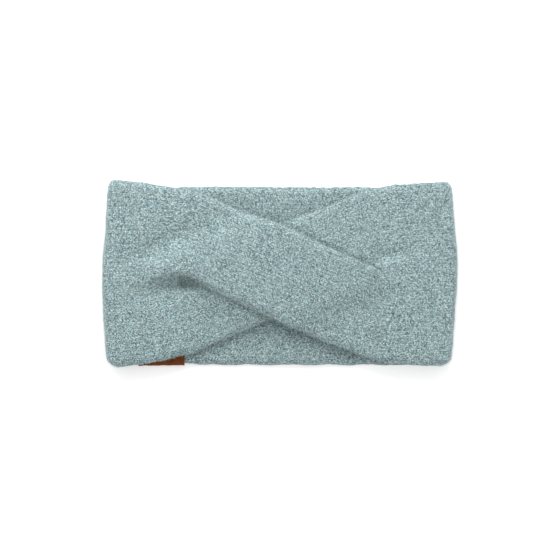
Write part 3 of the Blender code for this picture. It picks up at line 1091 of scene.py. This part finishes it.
class Shader:
    """The node tree of one material, around its Principled BSDF."""

    def __init__(self, name: str, roughness: float) -> None:
        """Start a material.

        Args:
            name: the material's name.
            roughness: how matt it is.
        """
        self.material = bpy.data.materials.new(name)
        self.material.use_nodes = True
        self.nodes = self.material.node_tree.nodes
        self.links = self.material.node_tree.links
        self.surface = self.nodes["Principled BSDF"]
        self.surface.inputs["Roughness"].default_value = roughness

    def node(self, kind: str, settings: dict, inputs: dict) -> bpy.types.Node:
        """Add a node.

        Args:
            kind: the node's type.
            settings: its properties, which are set first.
            inputs: values or wires for its sockets, by name or number.

        Returns:
            The node.
        """
        made = self.nodes.new(kind)
        for name, value in settings.items():
            setattr(made, name, value)
        for name, value in inputs.items():
            if isinstance(value, Wire):
                self.links.new(value.socket, made.inputs[name])
            else:
                made.inputs[name].default_value = value
        return made

    def maths(self, operation: str, *values: "Wire | float") -> Wire:
        """One step of arithmetic on values."""
        made = self.node("ShaderNodeMath", {"operation": operation}, dict(enumerate(values)))
        return Wire(self, made.outputs[0])

    def cosine(self, turns: Wire) -> Wire:
        """Cosine of a number of whole turns."""
        return self.maths("COSINE", turns * TURN)

    def vector(self, x: "Wire | float", y: "Wire | float", z: "Wire | float") -> Wire:
        """A vector from three values."""
        return Wire(self, self.node("ShaderNodeCombineXYZ", {}, {0: x, 1: y, 2: z}).outputs[0])

    def noise(self, place: Wire, scale: float, detail: float, roughness: float = 0.5) -> Wire:
        """Soft noise around a half, at a place."""
        sockets = {"Vector": place, "Scale": scale, "Detail": detail, "Roughness": roughness}
        return Wire(self, self.node("ShaderNodeTexNoise", {}, sockets).outputs["Fac"])

    def cells(self, place: Wire) -> Wire:
        """A random tone for each small irregular cell.

        Args:
            place: where, with one cell to a unit.

        Returns:
            The tone, from 0 to 1.
        """
        made = self.node("ShaderNodeTexVoronoi", {}, {"Vector": place, "Scale": 1.0})
        split = self.node("ShaderNodeSeparateColor", {}, {0: Wire(self, made.outputs["Color"])})
        return Wire(self, split.outputs[0])

    def object_place(self) -> Wire:
        """The place on the object, in metres."""
        return Wire(self, self.node("ShaderNodeTexCoord", {}, {}).outputs["Object"])

    def times(self, first: Wire, second: Wire) -> Wire:
        """Two colours multiplied."""
        settings = {"data_type": "RGBA", "blend_type": "MULTIPLY"}
        return Wire(self, self.node("ShaderNodeMix", settings, {0: 1.0, 6: first, 7: second}).outputs[2])

    def stretch(self, value: Wire, low: float, high: float) -> Wire:
        """A value's range from low to high, spread from 0 to 1 and cut off beyond."""
        sockets = {"Value": value, "From Min": low, "From Max": high}
        return Wire(self, self.node("ShaderNodeMapRange", {"clamp": True}, sockets).outputs[0])

    def mix(self, share: "Wire | float", first: "Wire | tuple", second: "Wire | tuple") -> Wire:
        """Two colours mixed.

        Args:
            share: how much of the second.
            first: the first colour.
            second: the second.

        Returns:
            The mixture.
        """
        settings = {"data_type": "RGBA"}
        made = self.node("ShaderNodeMix", settings, {0: share, 6: rgba(first), 7: rgba(second)})
        return Wire(self, made.outputs[2])

    def colour(self, wire: Wire) -> None:
        """Feed the surface's base colour."""
        self.links.new(wire.socket, self.surface.inputs["Base Color"])

    def bump(self, height: Wire, distance: float, strength: float) -> None:
        """Feed the surface's normal with a relief.

        Args:
            height: the relief, from 0 to 1.
            distance: what 1 stands for, in metres.
            strength: how strongly it shows.
        """
        sockets = {"Height": height, "Distance": distance, "Strength": strength}
        made = self.node("ShaderNodeBump", {}, sockets)
        self.links.new(made.outputs[0], self.surface.inputs["Normal"])


def rgba(colour: "Wire | tuple") -> "Wire | tuple":
    """A colour with its alpha, or a wire as it is."""
    return colour if isinstance(colour, Wire) else (*colour, 1.0)


@dataclass(frozen=True)
class MelangeFinish:
    """Melange wool: a blend of pale, blue-green and dark fibres spun into one yarn.

    flecks and fibres are how many there are to a wale and to a course. The dark and pale ranges are the
    tones over which each colour comes in.
    """

    dark: Colour = (0.030, 0.063, 0.065)
    body: Colour = (0.160, 0.247, 0.257)
    pale: Colour = (0.590, 0.735, 0.752)
    loose: Colour = (0.720, 0.820, 0.835)
    flecks: tuple[float, float] = (4.8, 5.8)
    fibres: tuple[float, float] = (7.0, 8.6)
    dark_range: tuple[float, float] = (0.22, 0.43)
    pale_range: tuple[float, float] = (0.52, 0.76)
    # painted shade: the colour that darkens the grooves between the stitches, in place of the shade there
    groove: Colour = (0.86, 0.87, 0.87)
    warm: Colour = (1.05, 0.995, 0.975)
    cool: Colour = (0.96, 1.005, 1.02)
    relief: float = 0.00035
    loose_scale: float = 900.0
    roughness: float = 0.92
    sheen: float = 0.30
    sheen_roughness: float = 0.4

    def material(self, knit: Knit) -> bpy.types.Material:
        """The knit's material, on its own UV map of wales and courses.

        Flecks are small cells with a tone each, and fibres are finer noise between them. Both follow the
        rows, which waver. The grooves are darkened with painted shade and the hue drifts from warm to
        cool. The relief is that of the mesh's own stitches, with the fibres on it.

        Args:
            knit: the gauge and the shape of the stitches.

        Returns:
            The material.
        """
        shader = Shader("melange knit", self.roughness)
        place = Wire(shader, shader.node("ShaderNodeUVMap", {"uv_map": "knit"}, {}).outputs[0])
        split = shader.node("ShaderNodeSeparateXYZ", {}, {"Vector": place})
        wale, course = (Wire(shader, split.outputs[number]) for number in (0, 1))
        leg = shader.maths("ABSOLUTE", 2 * shader.maths("FRACT", wale) - 1)
        waver = shader.noise(shader.vector(wale * 0.9, course * 0.7, 0.0), 1.0, 1.0)
        row = course + knit.lean * leg + 0.5 * waver
        chevron = 0.5 + 0.5 * shader.cosine(row)
        rib = 0.5 - 0.5 * shader.cosine(wale)
        legs = 0.5 - 0.5 * shader.cosine(2 * wale)
        shape = knit.rib_share * rib + (1 - knit.rib_share) * legs
        height = shape * (1 - knit.row_share + knit.row_share * chevron)
        flecks = shader.cells(shader.vector(wale * self.flecks[0], row * self.flecks[1], 0.0))
        place = shader.vector(wale * self.fibres[0], row * self.fibres[1], 5.3)
        fibres = shader.noise(place, 1.0, 1.0, 0.6)
        tone = 0.6 * flecks + 0.4 * shader.stretch(fibres, 0.36, 0.64)
        deep = shader.mix(shader.stretch(tone, *self.dark_range), self.dark, self.body)
        light = shader.mix(shader.stretch(tone, *self.pale_range), deep, self.pale)
        # painted shade: the relief's grooves are darkened towards the groove colour
        shade = shader.mix(shader.stretch(height, 0.0, 0.45), self.groove, (1.0, 1.0, 1.0))
        drift = shader.stretch(shader.noise(shader.vector(wale, course, 2.1), 0.45, 3.0), 0.3, 0.7)
        hue = shader.mix(drift, self.warm, self.cool)
        shader.colour(shader.times(shader.times(light, shade), hue))
        shader.bump(0.8 * height + fibres, self.relief, 0.8)
        self.add_sheen(shader)
        return shader.material

    def fuzz_material(self) -> bpy.types.Material:
        """Make the loose fibres' material, from pale to paler by place.

        Returns:
            The material.
        """
        shader = Shader("loose wool fibres", self.roughness)
        place = shader.object_place()
        tone = shader.stretch(shader.noise(place, self.loose_scale, 0.0), 0.35, 0.65)
        shader.colour(shader.mix(tone, self.pale, self.loose))
        self.add_sheen(shader)
        return shader.material

    def add_sheen(self, shader: Shader) -> None:
        """Give a shader the soft sheen of wool."""
        shader.surface.inputs["Sheen Weight"].default_value = self.sheen
        shader.surface.inputs["Sheen Roughness"].default_value = self.sheen_roughness


@dataclass(frozen=True)
class LeatherFinish:
    """Brown leather with a fine grain, darker where it is handled."""

    dark: Colour = (0.100, 0.028, 0.005)
    body: Colour = (0.180, 0.052, 0.010)
    roughness: float = 0.72
    shine: float = 0.14
    grain_scale: float = 1500.0
    mottle_scale: float = 260.0
    relief: float = 0.00012

    def material(self) -> bpy.types.Material:
        """Make the leather's material, on object coordinates.

        Returns:
            The material.
        """
        shader = Shader("brown leather", self.roughness)
        shader.surface.inputs["Specular IOR Level"].default_value = self.shine
        place = shader.object_place()
        sockets = {"Vector": place, "Scale": self.grain_scale}
        cells = shader.node("ShaderNodeTexVoronoi", {"feature": "DISTANCE_TO_EDGE"}, sockets)
        grain = shader.stretch(Wire(shader, cells.outputs[0]), 0.0, 0.25)
        mottle = shader.stretch(shader.noise(place, self.mottle_scale, 3.0), 0.35, 0.68)
        shader.colour(shader.mix(mottle * (0.55 + 0.45 * grain), self.dark, self.body))
        shader.bump(grain + 0.6 * mottle, self.relief, 0.6)
        return shader.material


@dataclass(frozen=True)
class ThreadFinish:
    """Waxed sewing thread."""

    colour: Colour = (0.055, 0.022, 0.012)
    roughness: float = 0.6
    ply_scale: float = 2400.0

    def material(self) -> bpy.types.Material:
        """Make the thread's material, with its plies.

        Returns:
            The material.
        """
        shader = Shader("sewing thread", self.roughness)
        place = shader.object_place()
        plies = shader.stretch(shader.noise(place, self.ply_scale, 1.0), 0.4, 0.6)
        shader.colour(shader.mix(plies, tuple(0.6 * part for part in self.colour), self.colour))
        return shader.material


@dataclass(frozen=True)
class Fuzz:
    """Loose fibres that stand out of a knitted face.

    Each is a bent sliver with three sides: seven points and ten faces, thick at its root and pointed.
    at_edges is how much denser they are where the knit turns away, and hidden their share underneath.
    """

    length: float = 1.8
    shortest: float = 0.35
    thickness: float = 0.065
    root_depth: float = 0.1
    spread: float = 0.75
    bow: float = 0.45
    at_edges: float = 24.0
    hidden: float = 0.15

    def build(self, name: str, skin: bpy.types.Object, count: int, seed: int) -> bpy.types.Object:
        """Fibres spread over a skin by area.

        Each fibre starts just under a face, leans off its normal, and bows over at its middle. Near the
        floor it leans upwards. The skin's last two faces are its flat ends, which have none.

        Args:
            name: the object's name.
            skin: the skin they grow from.
            count: how many.
            seed: start of the random draws.

        Returns:
            All of them, as one mesh.
        """
        draw = np.random.default_rng(seed)
        mesh = skin.data
        centres, normals, areas = (np.zeros(len(mesh.polygons) * size, np.float32) for size in (3, 3, 1))
        mesh.polygons.foreach_get("center", centres)
        mesh.polygons.foreach_get("normal", normals)
        mesh.polygons.foreach_get("area", areas)
        areas[-2:] = 0
        upward = normals[2::3]
        areas *= np.where(upward < -0.4, self.hidden, 1 + self.at_edges * (1 - np.abs(upward)))
        picked = draw.choice(len(areas), count, p=areas / areas.sum())
        root = centres.reshape(-1, 3)[picked] / MM
        normal = normals.reshape(-1, 3)[picked]
        way = normal + draw.normal(0, self.spread, (count, 3))
        way /= np.linalg.norm(way, axis=1, keepdims=True)
        side = np.cross(way, draw.normal(0, 1, (count, 3)))
        side /= np.linalg.norm(side, axis=1, keepdims=True)
        near_floor = root[:, 2] < self.length
        for direction in (way, side):
            direction[near_floor, 2] = np.abs(direction[near_floor, 2])
        third = np.cross(way, side)
        reach = self.length * draw.uniform(self.shortest, 1.0, (count, 1)) ** 1.5
        middle = root + way * reach * 0.5 + side * reach * self.bow * 0.35
        tip = root + way * reach + side * reach * self.bow
        angles = np.arange(3) * TURN / 3
        ring = side[:, None] * np.cos(angles)[:, None] + third[:, None] * np.sin(angles)[:, None]
        ring = ring * self.thickness / 2
        base = root[:, None] - self.root_depth * way[:, None] + ring
        belt = middle[:, None] + ring * 0.8
        points = np.concatenate((base, belt, tip[:, None]), axis=1)
        first = np.arange(3)
        second = (first + 1) % 3
        lower = np.stack((first, second, second + 3), axis=1)
        upper = np.stack((first, second + 3, first + 3), axis=1)
        top = np.stack((first + 3, second + 3, np.full(3, 6)), axis=1)
        pattern = np.concatenate((lower, upper, top, [[2, 1, 0]]))
        faces = (np.arange(count)[:, None, None] * 7 + pattern).reshape(-1, 3)
        return placed(name, filled(name, points, faces.reshape(-1), np.arange(len(faces)) * 3))


@dataclass
class LeatherTab:
    """The leather tab: a strip bent round the back band's lower edge and sewn through near its ends."""

    lay: Lay
    turn_steps: int = 12
    leaf_steps: int = 8
    stations: int = 31
    stitch: float = 2.2
    stitch_pitch: float = 3.3
    stitch_inset: float = 1.7
    thread: float = 0.5
    proud: float = 0.12
    dip: float = 0.5
    lower_sunk: float = 0.3
    rounding: float = 0.3

    def build(self) -> bpy.types.Object:
        """The strip: its U-shaped outline carried along X, with its edges rounded.

        Returns:
            The tab's object.
        """
        lay = self.lay
        low, high = millimetres(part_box("leather_tab"))
        pressed = lay.fabric - lay.tab_pinch
        inner = pressed / 2 + lay.tab_gap
        x = np.linspace(low[0], high[0], self.stations)[:, None]
        edge = lay.back_line("low", x) + lay.tab_dent
        bend = edge + pressed / 2
        tip = high[1]
        angle = np.linspace(-0.5, -1.5, self.turn_steps + 1)[None, :] * math.pi
        leaf = np.linspace(1, 0, self.leaf_steps, endpoint=False)[None, :]
        centre = lay.tab_leather + inner
        rows = []
        for radius, order in ((inner + lay.tab_leather, 1), (inner, -1)):
            level = centre - order * radius + 0 * leaf
            out = bend + (tip - bend) * leaf
            back = bend + (tip - bend) * leaf[:, ::-1]
            turn_y = bend + radius * np.cos(angle[:, ::order])
            turn_z = np.broadcast_to(centre + radius * np.sin(angle[:, ::order]), turn_y.shape)
            rows += [
                (out, np.broadcast_to(level, out.shape)),
                (turn_y, turn_z),
                (back, np.broadcast_to(2 * centre - level, back.shape)),
            ]
        y = np.concatenate([row[0] for row in rows], axis=1)
        z = np.concatenate([row[1] for row in rows], axis=1)
        places = np.broadcast_to(x, y.shape)
        points = np.stack((places, y, z), axis=-1)
        wale = np.arange(points.shape[1] + 1, dtype=float)
        course = np.broadcast_to(np.arange(len(points), dtype=float)[:, None], y.shape)
        made = solid("leather_strip", points, wale, np.ascontiguousarray(course))
        made.data.set_sharp_from_angle(angle=math.radians(180))
        bevel = made.modifiers.new("rounded edges", "BEVEL")
        bevel.width = self.rounding * MM
        bevel.segments = 3
        bevel.limit_method = "ANGLE"
        bevel.angle_limit = math.radians(50)
        return made

    def stitches(self) -> bpy.types.Object:
        """The row of stitches on both leaves: short rounded runs of thread.

        Each stitch is a tube round a low arc that goes into the leather at both ends. On the lower leaf
        it lies sunk in the leather, clear of the floor.

        Returns:
            All stitches, as one mesh.
        """
        low, high = millimetres(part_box("leather_tab"))
        count = int((high[0] - low[0] - 2 * self.stitch_inset) // self.stitch_pitch)
        start = (low[0] + high[0]) / 2 - (count - 1) * self.stitch_pitch / 2
        share = np.linspace(-1, 1, 9)
        angle = np.linspace(0, TURN, 8, endpoint=False)
        radius = self.thread / 2
        upper = high[2] + self.proud - self.dip * share**4
        lower = low[2] + self.lower_sunk * (1 + share**4)
        rings = []
        for number in range(count):
            across = start + number * self.stitch_pitch + share * self.stitch / 2
            for middle in (upper, lower):
                y = high[1] - self.stitch_inset + radius * np.cos(angle)[None, :] + 0 * across[:, None]
                z = middle[:, None] + radius * np.sin(angle)[None, :]
                rings.append(np.stack((np.broadcast_to(across[:, None], y.shape), y, z), axis=-1))
        tubes = [
            solid(f"stitch_{number}", ring, np.arange(9.0), np.zeros(ring.shape[:2]))
            for number, ring in enumerate(rings)
        ]
        return joined("tab_stitches", tubes)


def joined(name: str, parts: list[bpy.types.Object]) -> bpy.types.Object:
    """Several mesh objects made one.

    Args:
        name: the new object's name.
        parts: the objects, which are used up.

    Returns:
        The one object.
    """
    with bpy.context.temp_override(active_object=parts[0], selected_editable_objects=parts):
        bpy.ops.object.join()
    parts[0].name = name
    parts[0].data.name = name
    return parts[0]


@dataclass(frozen=True)
class Studio:
    """A white floor, one large soft light from the top of the picture, and a camera straight above."""

    pixel: float = 0.647
    frame_pixels: int = 546
    origin_pixel: tuple[float, float] = (279.5, 273.53)
    height: float = 1600.0
    aim_level: float = 12.0
    floor_drop: float = 0.1
    sensor: float = 36.0
    floor_size: float = 8.0
    floor_tone: float = 0.93
    floor_roughness: float = 0.9
    floor_shine: float = 0.1
    key_power: float = 5.7
    key_size: tuple[float, float] = (0.75, 0.45)
    key_place: tuple[float, float, float] = (-0.09, 0.6, 0.38)
    world_strength: float = 0.86
    floor_glow: float = 0.26

    def camera(self) -> None:
        """A camera straight above, framed so that a millimetre is as long as in the photograph."""
        data = bpy.data.cameras.new("camera")
        data.sensor_width = self.sensor
        data.lens = self.sensor * self.height / (self.frame_pixels * self.pixel)
        data.clip_end = 50
        made = placed("camera", data)
        centre = self.frame_pixels / 2
        x = (centre - self.origin_pixel[0]) * self.pixel
        y = (self.origin_pixel[1] - centre) * self.pixel
        made.location = (x * MM, y * MM, (self.height + self.aim_level) * MM)
        bpy.context.scene.camera = made

    def floor(self) -> None:
        """The pale floor, just under the part, with a faint glow that keeps it white."""
        half = self.floor_size / 2
        mesh = bpy.data.meshes.new("floor")
        level = -self.floor_drop * MM
        corners = [(-half, -half), (half, -half), (half, half), (-half, half)]
        mesh.from_pydata([(*corner, level) for corner in corners], [], [(0, 1, 2, 3)])
        made = placed("floor", mesh)
        shader = Shader("pale floor", self.floor_roughness)
        shader.surface.inputs["Base Color"].default_value = (*[self.floor_tone] * 3, 1)
        shader.surface.inputs["Specular IOR Level"].default_value = self.floor_shine
        shader.surface.inputs["Emission Color"].default_value = (1, 1, 1, 1)
        shader.surface.inputs["Emission Strength"].default_value = self.floor_glow
        mesh.materials.append(shader.material)

    def lights(self) -> None:
        """The key light and an even pale surround."""
        data = bpy.data.lights.new("key", "AREA")
        data.shape = "RECTANGLE"
        data.size, data.size_y = self.key_size
        data.energy = self.key_power
        made = placed("key", data)
        made.location = self.key_place
        made.rotation_euler = (-math.atan2(self.key_place[1], self.key_place[2]), 0, 0)
        world = bpy.data.worlds.new("surround")
        bpy.context.scene.world = world
        world.use_nodes = True
        ground = world.node_tree.nodes["Background"]
        ground.inputs["Color"].default_value = (1.0, 1.0, 1.0, 1.0)
        ground.inputs["Strength"].default_value = self.world_strength

    def build(self) -> None:
        """Set up the studio."""
        self.camera()
        self.floor()
        self.lights()
        bpy.context.scene.view_settings.view_transform = "Standard"


def dress(piece: bpy.types.Object, material: bpy.types.Material, node: str | None) -> None:
    """Give a piece its material and its body, and hide the solid that it stands for.

    Args:
        piece: the piece.
        material: its material.
        node: the solid that it replaces, or None.
    """
    piece.data.materials.clear()
    piece.data.materials.append(material)
    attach(piece, "root")
    if node:
        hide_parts(node)
    log.info("%s: %d faces", piece.name, len(piece.data.polygons))


@dataclass
class Headwrap:
    """The whole headwrap: the band, the straps, their fuzz and the leather tab."""

    lay: Lay
    knit: Knit
    finish: MelangeFinish
    band_wales: int = 43
    strap_wales: int = 21
    strap_flat: tuple[float, float] = (60.0, 143.0)
    turn_fibres: int = 9500
    strap_fibres: int = 8000
    back_fibres: int = 4500
    loose: Fuzz = Fuzz()

    def dress_knit(self, piece: bpy.types.Object, node: str, materials: tuple, count: int,
                   seed: int) -> list[bpy.types.Object]:
        """Dress a knitted piece and grow its fuzz.

        Args:
            piece: the piece, knit_ and its place.
            node: the solid that it replaces.
            materials: the knit's material and the fibres'.
            count: how many fibres.
            seed: start of their random draws.

        Returns:
            The pieces on this one, which is its fuzz.
        """
        dress(piece, materials[0], node)
        name = piece.name.replace("knit", "fuzz").removesuffix("_turn")
        fuzz = self.loose.build(name, piece, count, seed)
        dress(fuzz, materials[1], None)
        return [fuzz]

    def build(self) -> None:
        """Build and dress every piece."""
        lay = self.lay
        wool = (self.finish.material(self.knit), self.finish.fuzz_material())
        shown = Fineness(6, 2, 4)
        turning = BandSkin(lay, self.knit, shown, self.band_wales)
        for side in Side:
            turn = turning.turn_stretch(side)
            fuzz = self.dress_knit(turn, "back_band", wool, self.turn_fibres, TURN_FUZZ_SEED + side.value)
            lay.width * MM
        back = BandSkin(lay, self.knit, Fineness(2, 4, 3), self.band_wales).back_stretch()
        fuzz = self.dress_knit(back, "back_band", wool, self.back_fibres, BACK_FUZZ_SEED)
        lay.width * MM
        width, length = self.strap_flat
        for number, strap in enumerate(Strap):
            made = StrapSkin(lay, self.knit, shown, self.strap_wales, strap=strap).build()
            fuzz = self.dress_knit(made, strap.value, wool, self.strap_fibres, STRAP_FUZZ_SEED + number)
            width * MM
            length * MM
        tab = LeatherTab(lay)
        dress(tab.build(), LeatherFinish().material(), "leather_tab")
        dress(tab.stitches(), ThreadFinish().material(), None)


def main() -> None:
    """Build the studio and the headwrap."""
    logging.basicConfig(level=logging.INFO, format="%(message)s")
    Studio().build()
    Headwrap(Lay.from_frame(), Knit(), MelangeFinish()).build()


if __name__ == "__main__":
    main()
